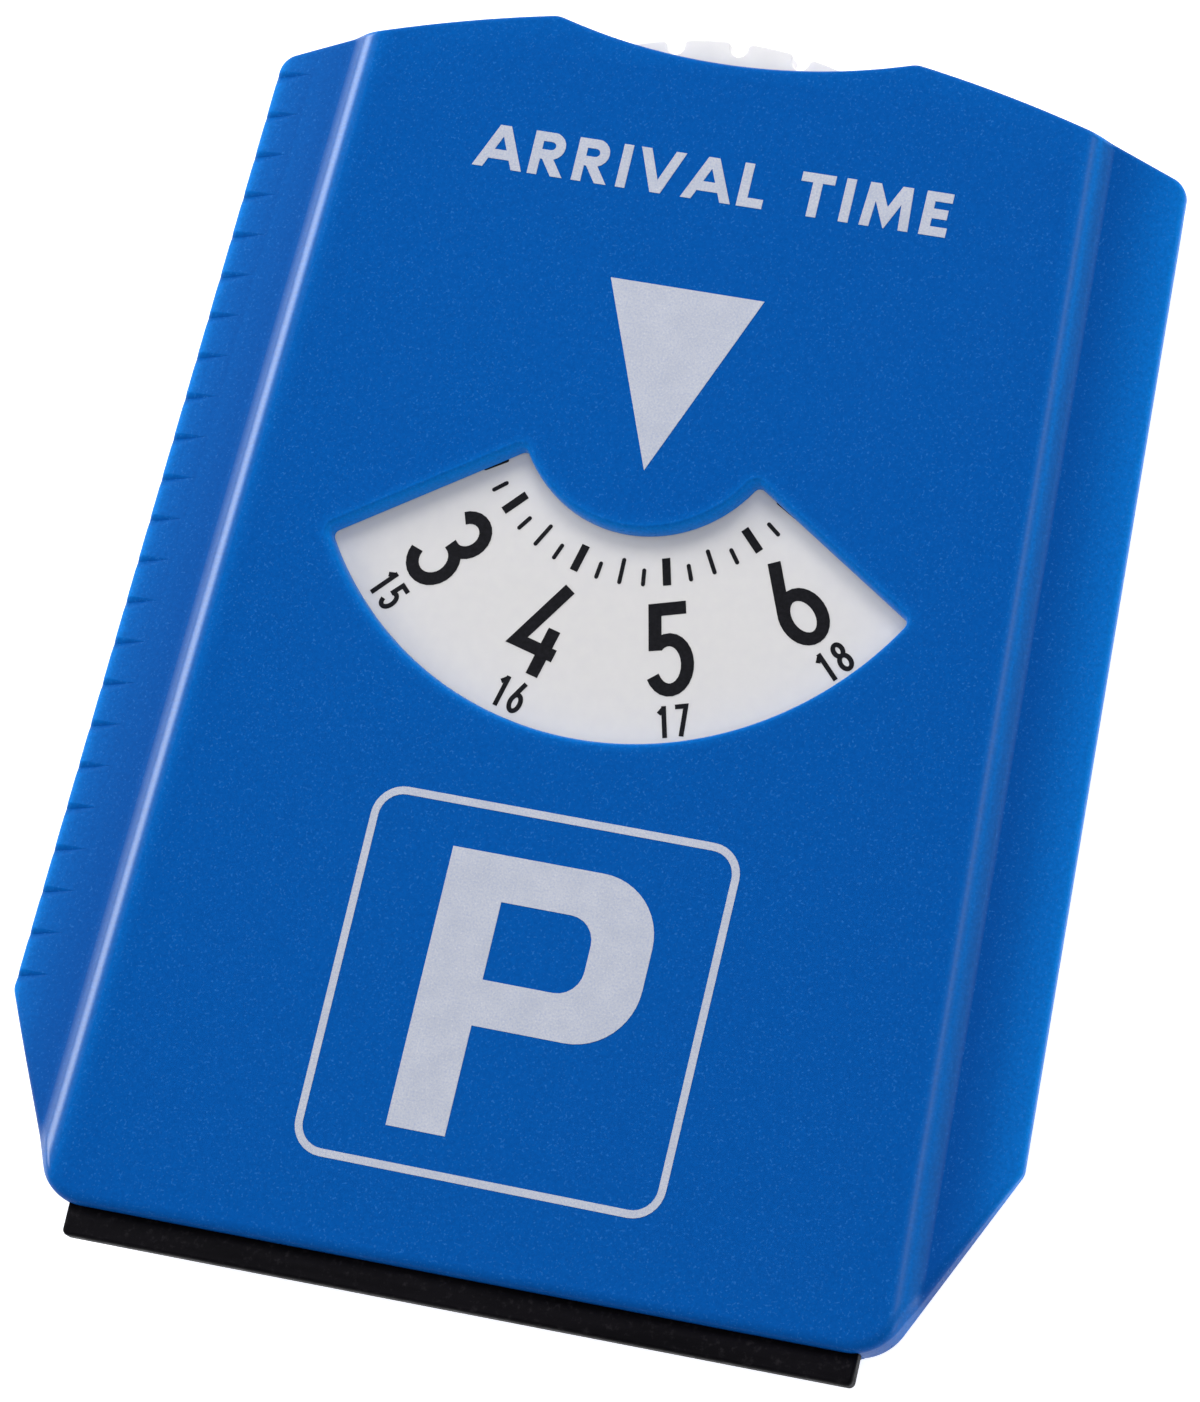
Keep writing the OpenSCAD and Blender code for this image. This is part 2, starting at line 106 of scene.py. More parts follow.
# The lip: its blade, its root and the seat and rail that hold them.
SEAT_HALF, SEAT_Y, ROOT_Y0, ROOT_Y1 = 46.35, BOTTOM_Y + 2.0, BOTTOM_Y + 1.9, BOTTOM_Y + 4.2
BLADE_LOW, BLADE_HIGH, LIP_FIT = 5.3, 7.5, 0.05
BLADE_EDGE, BLADE_CORNER, ROOT_DEPTH = 0.45, 0.7, 2.2
CORE_MARGIN, RAIL_HALF, RAIL_Y = 2.4, 46.2, BOTTOM_Y + 4.15

# The rear cover's back: a sunk panel, ejector marks, and a gate mark with a nib in it.
REAR_INSET, REAR_HEEL_R, REAR_EDGE = 2.0, 5.0, 0.8
PANEL_DEPTH, PANEL_EDGE, PANEL_CORNER = 0.3, 0.35, 4
PANEL_CORNERS = [(-38, -62), (38, -62), (36, 14), (-36, 14)]
EJECTORS = [(s * x, y) for x, y in ((33, 56), (42, -8), (43.5, -64)) for s in (1, -1)]
EJECTOR_R, EJECTOR_DEPTH, EJECTOR_WALL = 3.0, 0.12, 0.15
GATE_R, GATE_DEPTH, GATE_WALL = 3.2, 0.35, 0.4
NIB_R, NIB_HEIGHT, NIB_WALL = 1.1, 0.15, 0.2

# The dial: a thin plate with a thicker rim and hub, and U-shaped gaps between the grip blocks.
DIAL_R, DIAL_BORE, DIAL_HUB, DIAL_RIM_IN = 43.8, 4.05, 7, 39.5
DIAL_BLOCKS, DIAL_TURNED = 36, 0.35
GAP_R, GAP_AT, GAP_LIP = 1.05, 43.15, 0.5
HUB_Z, HUB_FOOT_Z, RIM_FOOT_Z, DIAL_FOOT_Z = 6.7, 1.9, 3.0, 4.6
DIAL_EDGE = 0.2

# ---------------------------------------------------------------- plan geometry


def arc(cx, cy, r, a0, a1, n):
    """n + 1 points of an arc, with its angles in degrees."""
    t = np.radians(np.linspace(a0, a1, n + 1))
    return np.stack([cx + r * np.cos(t), cy + r * np.sin(t)], 1)


def circle(cx, cy, r, n):
    return arc(cx, cy, r, 0, 360, n)[:-1]


def rect(x0, y0, x1, y1):
    return np.array([(x0, y0), (x1, y0), (x1, y1), (x0, y1)], float)


def rounded(a, b, c, r, n):
    """Points that round the corner b of the path a-b-c."""
    a, b, c = (np.array(p, float) for p in (a, b, c))
    u, v = (a - b) / np.linalg.norm(a - b), (c - b) / np.linalg.norm(c - b)
    half = math.acos(max(-1, min(1, float(u @ v)))) / 2
    m = b + (u + v) / np.linalg.norm(u + v) * r / math.sin(half)
    p, q = b + u * r / math.tan(half) - m, b + v * r / math.tan(half) - m
    a0, a1 = math.atan2(p[1], p[0]), math.atan2(q[1], q[0])
    turn = (a1 - a0 + math.pi) % (2 * math.pi) - math.pi
    return arc(m[0], m[1], r, math.degrees(a0), math.degrees(a0 + turn), n)


def rounded_loop(points, r, n=8):
    """A closed loop with every corner rounded by the radius r."""
    after = points[1:] + points[:1]
    return np.concatenate([rounded(points[i - 1], b, after[i], r, n) for i, b in enumerate(points)])


def inset(loop, w):
    """The anticlockwise loop moved inwards by w, or outwards where w is negative."""
    e = np.roll(loop, -1, 0) - loop
    e /= np.linalg.norm(e, axis=1)[:, None]
    n1 = np.stack([-e[:, 1], e[:, 0]], 1)
    n0 = np.roll(n1, 1, 0)
    mitre = (n0 + n1) / (1 + (n0 * n1).sum(1))[:, None]
    return loop + mitre * np.broadcast_to(w, len(loop))[:, None]


def without_repeats(loop):
    """The loop without the points that fall on the one after them."""
    gap = np.linalg.norm(np.roll(loop, -1, 0) - loop, axis=1)
    return loop[gap > 1e-3]


BATCH = 4000


def nearest(points, loop):
    """Distance from each point to the closed loop, and the unit vector from loop to point."""
    a, b = loop, np.roll(loop, -1, 0)
    ab = b - a
    dist, away = np.empty(len(points)), np.empty((len(points), 2))
    for s in range(0, len(points), BATCH):
        p = points[s:s + BATCH]
        t = ((p[:, None] - a) * ab).sum(2) / (ab * ab).sum(1)
        gap = p[:, None] - (a + np.clip(t, 0, 1)[..., None] * ab)
        d2 = (gap * gap).sum(2)
        k = d2.argmin(1)
        rows = np.arange(len(p))
        dist[s:s + BATCH] = np.sqrt(d2[rows, k])
        away[s:s + BATCH] = gap[rows, k]
    return dist, away / np.maximum(dist, 1e-9)[:, None]


def inside(points, loop):
    """Which points lie inside the closed loop."""
    x, y = points[:, 0], points[:, 1]
    hit = np.zeros(len(points), bool)
    for a, b in zip(loop, np.roll(loop, -1, 0)):
        if a[1] != b[1]:
            cross = (a[1] > y) != (b[1] > y)
            hit ^= cross & (x < a[0] + (y - a[1]) * (b[0] - a[0]) / (b[1] - a[1]))
    return hit


# ---------------------------------------------------------------- shells from a plan
# A shell has a top and a bottom side over one plan. Each side has a level for every triangle, a
# smooth height on top of that level, and edges that are rounded towards the loops named in rounds.

# Distances, as shares of an edge's radius, of the loops that carry its rounding.
RING = 1 - np.cos(np.radians([15, 30, 45, 60, 75, 90]))
DIAL_RING = (0.034, 0.134, 0.293, 0.5, 0.741, 1)
SEAM_RING = (0.134, 0.5, 1)

SLOPE_STEP = 2e-4       # how far apart two heights are measured for a slope
PULL = 0.02             # how far a corner moves to its triangle's centre before its normal is taken
SAME_WALL = 0.8         # walls whose directions agree by this cosine share smooth normals


def drop(d, r):
    """Fall of a rounded edge of radius r at distance d from it, before it is stretched."""
    k = np.clip(r - d, 0, r)
    return r - np.sqrt(np.maximum(r * r - k * k, 0))


def drop_slope(d, r):
    """How fast drop changes with distance, capped close to the edge where it has no limit."""
    k = np.clip(r - d, 0, r * 0.9995)
    return -k / np.sqrt(r * r - k * k)


class Side:
    """One side of a shell: sign is 1 for the top and -1 for the bottom."""

    def __init__(self, sign, level, height=None, rounds=()):
        self.sign, self.level, self.height, self.rounds = sign, level, height, rounds

    def z(self, p, levels):
        out = np.array(levels, float)
        if self.height:
            out = out + self.height(p)
        for loop, radius, stretch in self.rounds:
            r = radius(p) if callable(radius) else np.full(len(p), radius)
            out = out - self.sign * stretch * drop(nearest(p, loop)[0], r)
        return out

    def normals(self, p):
        """Unit normals at plan points p, from the slopes of the height and of the rounded edges."""
        slope = np.zeros((len(p), 2))
        if self.height:
            for k in (0, 1):
                step = np.zeros(2)
                step[k] = SLOPE_STEP
                slope[:, k] = (self.height(p + step) - self.height(p - step)) / (2 * SLOPE_STEP)
        for loop, radius, stretch in self.rounds:
            r = radius(p) if callable(radius) else np.full(len(p), radius)
            d, away = nearest(p, loop)
            slope -= self.sign * stretch * drop_slope(d, r)[:, None] * away
        n = np.concatenate([-slope, np.ones((len(p), 1))], 1) * self.sign
        return n / np.linalg.norm(n, axis=1)[:, None]


def shell(name, loops, lines, outline, holes, top, bottom, attributes=None):
    """Builds a closed piece whose plan is cut along the loops and lines."""
    coords, edges = [], []
    for group, closed in ((loops, True), (lines, False)):
        for points in group:
            k, m = len(coords), len(points)
            coords += [Vector(p) for p in points]
            edges += [(k + i, k + (i + 1) % m) for i in range(m if closed else m - 1)]
    found = geometry.delaunay_2d_cdt(coords, edges, [], 0, 1e-6)
    plan = np.array([tuple(v) for v in found[0]])
    tris = np.array([f for f in found[2] if len(f) == 3])
    a, b, c = (plan[tris[:, k]] for k in range(3))
    area = (b[:, 0] - a[:, 0]) * (c[:, 1] - a[:, 1]) - (b[:, 1] - a[:, 1]) * (c[:, 0] - a[:, 0])
    tris[area < 0] = tris[area < 0][:, ::-1]
    centre = (a + b + c) / 3
    keep = inside(centre, outline)
    for hole in holes:
        keep &= ~inside(centre, hole)
    tris, centre = tris[keep], centre[keep]

    verts, faces, normals, index = [], [], [], {}
    heights = {}
    for side in (top, bottom):
        levels = np.round(side.level(centre), 4)
        for value in np.unique(levels):
            used = np.unique(tris[levels == value])
            z = side.z(plan[used], np.full(len(used), value))
            for i, zi in zip(used, z):
                index[side.sign, i, value] = len(verts)
                verts.append((plan[i][0], plan[i][1], zi))
        corners = plan[tris] * (1 - PULL) + centre[:, None] * PULL
        near = side.normals(corners.reshape(-1, 2)).reshape(-1, 3, 3)
        heights[side.sign] = levels
        for t, value, n in zip(tris, levels, near):
            order = (0, 1, 2) if side.sign > 0 else (2, 1, 0)
            faces.append([index[side.sign, t[k], value] for k in order])
            normals.append([n[k] for k in order])

    # Walls: round the outline and the holes, and between levels of one side
    owner = {}
    for f, t in enumerate(tris):
        for k in range(3):
            owner[t[k], t[(k + 1) % 3]] = f
    walls = []
    for (i, j), f in owner.items():
        g = owner.get((j, i))
        if g is None:
            walls.append((i, j, (1, heights[1][f]), (-1, heights[-1][f])))
        else:
            for s in (1, -1):
                if s * heights[s][f] > s * heights[s][g]:
                    walls.append((i, j, (s, heights[s][f]), (s, heights[s][g])))
    facing, meeting = [], {}
    for w, (i, j, hi, lo) in enumerate(walls):
        e = plan[j] - plan[i]
        e = e / max(np.linalg.norm(e), 1e-12)
        facing.append(np.array([e[1], -e[0], 0.0]))
        for v in (i, j):
            meeting.setdefault((v, hi, lo), []).append(w)
    for w, (i, j, hi, lo) in enumerate(walls):
        soft = []
        for v in (i, j):
            near = [facing[k] for k in meeting[v, hi, lo] if facing[k] @ facing[w] > SAME_WALL]
            n = np.sum(near, 0)
            soft.append(n / np.linalg.norm(n))
        quad = [index[side, v, level] for (side, level), v in ((hi, i), (lo, i), (lo, j), (hi, j))]
        ns = [soft[0], soft[0], soft[1], soft[1]]
        if hi[0] < 0 and lo[0] < 0:
            quad, ns = quad[::-1], ns[::-1]
        faces.append(quad)
        normals.append(ns)

    mesh = bpy.data.meshes.new(name)
    mesh.from_pydata([tuple(c * MM for c in v) for v in verts], [], faces)
    mesh.polygons.foreach_set("use_smooth", [True] * len(faces))
    mesh.normals_split_custom_set([tuple(n) for ns in normals for n in ns])
    if attributes:
        for key, values in attributes(np.array(verts)).items():
            layer = mesh.attributes.new(key, "FLOAT", "POINT")
            layer.data.foreach_set("value", values.astype(np.float32))
    mesh.update()
    obj = bpy.data.objects.new(name, mesh)
    bpy.context.scene.collection.objects.link(obj)
    return obj


# ---------------------------------------------------------------- outlines


def body_outline():
    """The front cover's anticlockwise outline: finger dip, shoulders, wings, heels and bottom."""
    slope = (RIDGE[0] / DIP_R) / math.sqrt(1 - (RIDGE[0] / DIP_R) ** 2)
    before = (RIDGE[0] - 5, RIDGE[1] - 5 * slope)
    t = np.linspace(0.1, 0.9, 9)[:, None]
    bulge = RIDGE + (np.array(SHOULDER) - RIDGE) * t + (0, 4 * SHOULDER_BULGE) * t * (1 - t)
    right = np.concatenate([
        rounded(before, RIDGE, tuple(bulge[0]), RIDGE_R, 12), bulge,
        rounded(tuple(bulge[-1]), SHOULDER, WING_TOP, SHOULDER_R, 6),
        rounded(SHOULDER, WING_TOP, WING_BOTTOM, WING_TOP_R, 14),
        rounded(WING_TOP, WING_BOTTOM, HEEL, WING_BOTTOM_R, 8),
        rounded(WING_BOTTOM, HEEL, (0, BOTTOM_Y), HEEL_R, 20)])
    x = np.linspace(-DIP_HALF, DIP_HALF, 41)
    dip = np.stack([x, DIP_Y + DIP_R - np.sqrt(DIP_R ** 2 - x ** 2)], 1)
    x = np.linspace(BOTTOM_HALF, -BOTTOM_HALF, 7)
    bottom = np.stack([x, np.full(len(x), BOTTOM_Y)], 1)
    left = (right * (-1, 1))[::-1]
    return np.concatenate([dip, right, bottom, left])[::-1].copy()


def beyond_step(p):
    """Distance outwards from the face's long edge, on either side."""
    return (abs(p[:, 0]) - FACE_HALF) * math.cos(TAPER) + (p[:, 1] - AXIS_Y) * math.sin(TAPER)


def step_line(u, side):
    """A line beside the face's long edge, at the distance u outwards from it."""
    ys = np.array([-80.0, 80.0])
    x = FACE_HALF + (u - (ys - AXIS_Y) * math.sin(TAPER)) / math.cos(TAPER)
    return np.stack([side * x, ys], 1)


def polar(r, angle):
    """A point at radius r from the dial's axis, at an angle from straight down."""
    return np.array([r * math.sin(math.radians(angle)), AXIS_Y - r * math.cos(math.radians(angle))])


def window_loop(margin, corner=0.0):
    """The window's outline grown by margin; its sides open a little more at the inner radius."""
    r_out, r_in = WINDOW_OUT + margin, WINDOW_IN - margin
    tip_out, tip_in = polar(WINDOW_OUT, WINDOW_HALF), polar(WINDOW_IN, WINDOW_HALF + WINDOW_SPREAD)
    along = (tip_out - tip_in) / np.linalg.norm(tip_out - tip_in)
    start = tip_in + margin * np.array([-along[1], along[0]]) - (0, AXIS_Y)
    back = float(start @ along)

    def on_side(r):
        reach = -back + math.sqrt(back * back - start @ start + r * r)
        return start + along * reach + (0, AXIS_Y)

    out, near = on_side(r_out), on_side(r_in)
    half_out = math.degrees(math.atan2(out[0], AXIS_Y - out[1]))
    half_in = math.degrees(math.atan2(near[0], AXIS_Y - near[1]))
    trim_out, trim_in = (math.degrees(corner / r) * 1.3 for r in (r_out, r_in))
    outer = arc(0, AXIS_Y, r_out, -90 - half_out + trim_out, -90 + half_out - trim_out,
                WINDOW_STEPS)
    inner = arc(0, AXIS_Y, r_in, -90 + half_in - trim_in, -90 - half_in + trim_in,
                WINDOW_STEPS // 2)
    if corner == 0:
        return np.concatenate([outer, inner])
    mirror = np.array([-1, 1])
    return np.concatenate([
        outer, rounded(outer[-1], out, near, corner, 5), rounded(out, near, inner[0], corner, 5),
        inner, rounded(inner[-1], near * mirror, out * mirror, corner, 5),
        rounded(near * mirror, out * mirror, outer[0], corner, 5)])


OUTLINE = body_outline()
WINDOW = window_loop(0, WINDOW_CORNER)
SKIRT_LOOP = window_loop(SKIRT)

# ---------------------------------------------------------------- the front cover


def edge_radius(p):
    """Radius of the front cover's outer edge: small on the wings, larger towards the lip."""
    low = np.clip((EDGE_LOW_Y - p[:, 1]) / EDGE_LOW_RUN, 0, 1)
    low = low * low * (3 - 2 * low)
    return EDGE_R + EDGE_R_MORE * low


def bend(x, w):
    """A ramp that starts at 0, with its corner rounded over +-w."""
    return np.where(x < -w, 0, np.where(x > w, x, (x + w) ** 2 / (4 * w)))


# The wing's half width beside the dial's axis, where the scoring's own axes start.
NOTCH_EDGE_X = WING_BOTTOM[0] - (WING_BOTTOM[0] - WING_TOP[0]) * (
    (AXIS_Y - WING_BOTTOM[1]) / (WING_TOP[1] - WING_BOTTOM[1]))


def notch_cut(p):
    """Depth of the scoring along the left wing: each tooth falls from a crest, then fades out."""
    dx, dy = -(p[:, 0] + NOTCH_EDGE_X), p[:, 1] - AXIS_Y
    back = -(dx * math.cos(TAPER) + dy * math.sin(TAPER))
    run = NOTCH_TOP - (dy * math.cos(TAPER) - dx * math.sin(TAPER))
    left = np.clip(1 - np.maximum(back, 0) / NOTCH_REACH, 1e-6, 1)
    a = np.mod(run, NOTCH_PITCH)
    fall = np.clip(a / (NOTCH_WALL * left), 0, 1)
    fade = np.clip(1 - (a / left - NOTCH_WALL) / (NOTCH_RAMP - NOTCH_WALL), 0, 1)
    on = (run > 0) & (run < NOTCHES * NOTCH_PITCH) & (dx > -8)
    rim = NOTCH_RIM_SHARE + (1 - NOTCH_RIM_SHARE) * np.clip(back / NOTCH_RIM_RUN, 0, 1)
    return np.where(on, NOTCH_DEPTH * left ** NOTCH_POWER * rim * fall * fade ** 2, 0)


def notch_lines():
    """Lines that fan out from the tip of each tooth to the wing's edge."""
    def place(back, along):
        dx = -back * math.cos(TAPER) - along * math.sin(TAPER)
        dy = -back * math.sin(TAPER) + along * math.cos(TAPER)
        return (-(NOTCH_EDGE_X + dx), AXIS_Y + dy)

    lines = []
    for i in range(NOTCHES):
        y = NOTCH_TOP - i * NOTCH_PITCH
        for run in (0, 0.5 * NOTCH_WALL, NOTCH_WALL, 1.2, 1.5, 1.85, NOTCH_RAMP):
            end = place(NOTCH_PAST, y - run * (1 - NOTCH_PAST / NOTCH_REACH))
            lines.append(np.array([place(NOTCH_REACH, y), end]))
    return lines


def front_top(p):
    """Height of the top over the flat face: the long steps, the sloping wings and the scoring."""
    u = beyond_step(p)
    steep = STEP_DROP / STEP_RUN
    foot = (steep - WING_SLOPE) * bend(u - STEP_RUN, FOOT_CREASE)
    return -steep * bend(u, CREASE) + foot - notch_cut(p)


def band(p, half):
    """Which points lie between the two tapered lines that are half apart beside the axis."""
    return abs(p[:, 0]) < half - (p[:, 1] - AXIS_Y) * math.tan(TAPER)


def from_axis(p):
    return np.hypot(p[:, 0], p[:, 1] - AXIS_Y)


def in_hollow(p):
    """Which points lie over the hollow below the dial, inside both covers."""
    return band(p, FACE_HALF - HOLLOW_EDGE) & (p[:, 1] > HOLLOW_Y0) & (p[:, 1] < HOLLOW_Y1)


def at_pin(p, pins, r):
    """Which points lie within r of a pin on either side."""
    return np.any([np.hypot(abs(p[:, 0]) - x, p[:, 1] - y) < r for x, y in pins], 0)


def front_under(p):
    """Levels of the front cover's underside."""
    r = from_axis(p)
    z = np.full(len(p), SPLIT_Z)
    z[in_hollow(p)] = PLATE_Z
    z[r < POCKET_R] = np.where(p[r < POCKET_R, 1] < POCKET_WALL_Y, PLATE_Z, RIM_ROOF_Z)
    z[inside(p, SKIRT_LOOP)] = SKIRT_Z
    z[(abs(abs(p[:, 0]) - RIB_X) < RIB_HALF) & (p[:, 1] > RIB_Y0) & (p[:, 1] < RIB_Y1)] = RIB_Z
    seat = abs(p[:, 0]) < SEAT_HALF
    z[seat & (p[:, 1] < SEAT_Y)] = BLADE_HIGH + LIP_FIT
    z[seat & (p[:, 1] > ROOT_Y0) & (p[:, 1] < ROOT_Y1)] = LIP_HIGH[2] + LIP_FIT
    z[at_pin(p, PINS, PIN_R)] = PIN_TIP_Z
    z[r < SPIGOT_HOLE_R] = SPIGOT_HOLE_Z
    return z


def rear_inside(p):
    """Levels of the rear cover's inner side."""
    r = from_axis(p)
    z = np.full(len(p), SPLIT_Z)
    z[in_hollow(p)] = FLOOR_Z
    z[r < POCKET_R] = np.where(p[r < POCKET_R, 1] < POCKET_WALL_Y, FLOOR_Z, RIM_FLOOR_Z)
    z[at_pin(p, PINS[1:], POST_R)] = SPLIT_Z
    rail = (abs(p[:, 0]) < RAIL_HALF) & (p[:, 1] < RAIL_Y)
    z[rail] = np.where(p[rail, 1] < ROOT_Y0, BLADE_LOW, LIP_LOW[2]) - LIP_FIT
    z[at_pin(p, PINS, SOCKET_R)] = SOCKET_Z
    z[r < BOSS_R] = PLATE_Z
    z[r < SPIGOT_R] = SPIGOT_Z
    return z


def hollow_loop():
    """The outline of the hollow below the dial."""
    y0, y1 = HOLLOW_Y0, HOLLOW_Y1
    x0, x1 = (FACE_HALF - HOLLOW_EDGE - (y - AXIS_Y) * math.tan(TAPER) for y in (y0, y1))
    return np.array([(-x0, y0), (x0, y0), (x1, y1), (-x1, y1)])


def pin_loops(r, pins):
    return [circle(s * x, y, r, 24) for x, y in pins for s in (1, -1)]


SEAT_LOOPS = [rect(-SEAT_HALF, FAR_Y, SEAT_HALF, SEAT_Y),
              rect(-SEAT_HALF, ROOT_Y0, SEAT_HALF, ROOT_Y1)]
RAIL_LOOPS = [rect(-RAIL_HALF, FAR_Y, RAIL_HALF, y) for y in (ROOT_Y0, RAIL_Y)]
RIB_LOOPS = [rect(s * RIB_X - RIB_HALF, RIB_Y0, s * RIB_X + RIB_HALF, RIB_Y1) for s in (1, -1)]
POCKET_LINES = [np.array([(-FAR_X, POCKET_WALL_Y), (FAR_X, POCKET_WALL_Y)])]

# Painted light: a level that lightens the plastic's colour and makes it glow. It stands in for
# light through thin edges, highlights on the creases of the long steps and shade on the wings and
# bevels. Each table runs outwards from the face's long edge.
PAINTED_LIGHT_AT = (-3.0, -1.8, -1.0, -0.4, 0.2, 0.8, 1.4, 1.9, 2.4, 3.2, 5.0, 7.0, 9.0, 10.2)
PAINTED_LIGHT_RIGHT = (0.28, 0.28, 0.30, 0.42, 0.62, 0.74, 0.70, 0.50, 0.12, 0.10, 0.24, 0.38, 0.58, 0.66)
PAINTED_LIGHT_LEFT = (0.30, 0.40, 0.66, 0.74, 0.70, 0.50, 0.36, 0.24, 0.22, 0.22, 0.27, 0.36, 0.52, 0.80)

# More painted glow along the outline above a line and on the window's rounded edge, and painted
# shade, as less glow, in the teeth.
OUTER_PAINTED_GLOW, OUTER_REACH, OUTER_Y = 0.3, 0.6, -55
RIM_PAINTED_GLOW, RIM_WIDTH, HALO_PAINTED_GLOW, HALO_REACH = 0.55, 1.4, 0.08, 1.6
NOTCH_PAINTED_SHADE = 0.75

# Shine: where handling has polished the creases of the long steps, in the same kind of table.
SHINE_AT = (-1.1, -0.6, -0.2, 0.1, 0.5, 1.1, 1.5, 1.8, 2.1, 2.5)
SHINE_RIGHT = (0.0, 0.0, 0.15, 0.9, 0.5, 0.05, 0.8, 1.0, 0.4, 0.0)
SHINE_LEFT = (0.0, 0.9, 1.0, 1.0, 0.9, 0.9, 0.5, 0.05, 0.0, 0.0)


def by_side(p, at, right, left):
    """A value from the table of the side that each point is on."""
    u = beyond_step(p)
    return np.where(p[:, 0] > 0, np.interp(u, at, right), np.interp(u, at, left))


def cover_painted_light(v):
    """The front cover's painted light (painted glow, painted highlights and painted shade) and its
    shine, at its vertices.
    """
    p = v[:, :2]
    edge, rim = nearest(p, OUTLINE)[0], nearest(p, WINDOW)[0]
    glow = by_side(p, PAINTED_LIGHT_AT, PAINTED_LIGHT_RIGHT, PAINTED_LIGHT_LEFT)
    # Painted glow along the outline and on the window's edge and walls, a painted halo round the
    # window, and painted shade in the teeth.
    glow = glow + OUTER_PAINTED_GLOW * np.exp(-edge / OUTER_REACH) * (p[:, 1] > OUTER_Y)
    glow = glow + RIM_PAINTED_GLOW * np.clip(RIM_WIDTH - rim / WINDOW_EDGE, 0, 1)
    glow = glow + HALO_PAINTED_GLOW * np.exp(-rim / HALO_REACH) - NOTCH_PAINTED_SHADE * notch_cut(p) / NOTCH_DEPTH
    # Shine stops at the outline and is whole from the rounded edge's innermost loop on.
    shine = by_side(p, SHINE_AT, SHINE_RIGHT, SHINE_LEFT)
    shine = shine * np.clip(edge / edge_radius(p) * 1.05, 0, 1)
    return {"glow": np.clip(glow, 0, 1), "shine": shine}


# Lines and loops that only give the painted light and the shine vertices to change at.
PAINTED_LIGHT_LINES = (-3.2, -2.2, -1.5, 3.2, 4.2, 6, 8, 9)
HALO_RING = (0.9, 1.6, 3)


def build_front():
    r = edge_radius(OUTLINE)
    loops = [OUTLINE] + [inset(OUTLINE, r * f) for f in RING]
    loops += [inset(OUTLINE, SEAM_EDGE * f) for f in SEAM_RING]
    loops += [WINDOW] + [inset(WINDOW, -WINDOW_EDGE * f) for f in RING]
    loops += [inset(WINDOW, -d) for d in HALO_RING]
    loops += [circle(0, AXIS_Y, POCKET_R, 160), circle(0, AXIS_Y, SPIGOT_HOLE_R, 24)]
    loops += [hollow_loop(), SKIRT_LOOP] + RIB_LOOPS + pin_loops(PIN_R, PINS) + SEAT_LOOPS
    bends = np.linspace(-1, 1, 11)
    at = [*(bends * CREASE), *(STEP_RUN + bends * FOOT_CREASE), *PAINTED_LIGHT_LINES]
    lines = [step_line(u, s) for s in (1, -1) for u in at] + notch_lines() + POCKET_LINES
    rounds = [(OUTLINE, edge_radius, 1), (WINDOW, WINDOW_EDGE, WINDOW_EDGE_DEPTH / WINDOW_EDGE)]
    top = Side(1, lambda p: np.full(len(p), FACE_Z), front_top, rounds)
    bottom = Side(-1, front_under, None, [(OUTLINE, SEAM_EDGE, 1)])
    return shell("front_shell", loops, lines, OUTLINE, [WINDOW], top, bottom, cover_painted_light)


# ---------------------------------------------------------------- the rear cover


def cut(loop, on, inwards):
    """The part of a loop on the inner side of a line through the point on."""
    side = (loop - on) @ np.array(inwards)
    out = []
    for i in range(len(loop)):
        j = (i + 1) % len(loop)
        if side[i] >= 0:
            out.append(loop[i])
        if (side[i] >= 0) != (side[j] >= 0):
            out.append(loop[i] + (loop[j] - loop[i]) * side[i] / (side[i] - side[j]))
    return np.array(out)


def round_off(loop, a, b, c, r):
    """Replaces an anticlockwise loop's corner at b, where the path a-b-c turns, with an arc."""
    curve = rounded(a, b, c, r, 16)
    near = np.linalg.norm(loop - b, axis=1) < np.linalg.norm(curve[0] - b) + 1e-6
    first = int(np.argmax(near & ~np.roll(near, 1)))
    loop, near = np.roll(loop, -first, 0), np.roll(near, -first)
    return np.concatenate([curve, loop[int(near.sum()):]])


def rear_outline():
    """The body's outline between the two tapered lines, set back along the heel's slants."""
    slant = np.array(WING_BOTTOM) - HEEL
    slant /= np.linalg.norm(slant)
    foot = np.array([HEEL[0] - REAR_INSET / slant[1], BOTTOM_Y])
    up, mirror = foot + 60 * slant, np.array([-1, 1])
    loop = OUTLINE
    for s in (1, -1):
        beside = (s * (FACE_HALF + CORE_MARGIN), AXIS_Y)
        loop = cut(loop, beside, (-s * math.cos(TAPER), -math.sin(TAPER)))
        loop = cut(loop, foot * (s, 1), (-s * slant[1], slant[0]))
    loop = round_off(loop, (0, BOTTOM_Y), foot, up, REAR_HEEL_R)
    return without_repeats(round_off(loop, up * mirror, foot * mirror, (0, BOTTOM_Y), REAR_HEEL_R))


REAR_OUTLINE = rear_outline()
BACK_PANEL = rounded_loop(PANEL_CORNERS, PANEL_CORNER)


def back_height(p):
    """Height of the back over z = 0: the sunk panel and the marks of the mould."""
    d = nearest(p, BACK_PANEL)[0]
    within = inside(p, BACK_PANEL)
    s = np.clip(np.where(within, d, -d) / PANEL_EDGE, 0, 1)
    z = PANEL_DEPTH * s * s * (3 - 2 * s)
    for x, y in EJECTORS:
        r = np.hypot(p[:, 0] - x, p[:, 1] - y)
        z = z + EJECTOR_DEPTH * np.clip((EJECTOR_R - r) / EJECTOR_WALL, 0, 1)
    r = from_axis(p)
    z = z + GATE_DEPTH * np.clip((GATE_R - r) / GATE_WALL, 0, 1)
    return z - NIB_HEIGHT * np.clip((NIB_R - r) / NIB_WALL, 0, 1)


# Radii of the circles round the axis: boss, spigot, and both ends of the gate's and nib's walls.
REAR_RINGS = (BOSS_R, GATE_R, 2.8, SPIGOT_R, NIB_R, 0.9)
# On the rear cover the painted light is one flat level: the plain base colour, with no painted
# glow.
REAR_PAINTED_LIGHT = 0.3


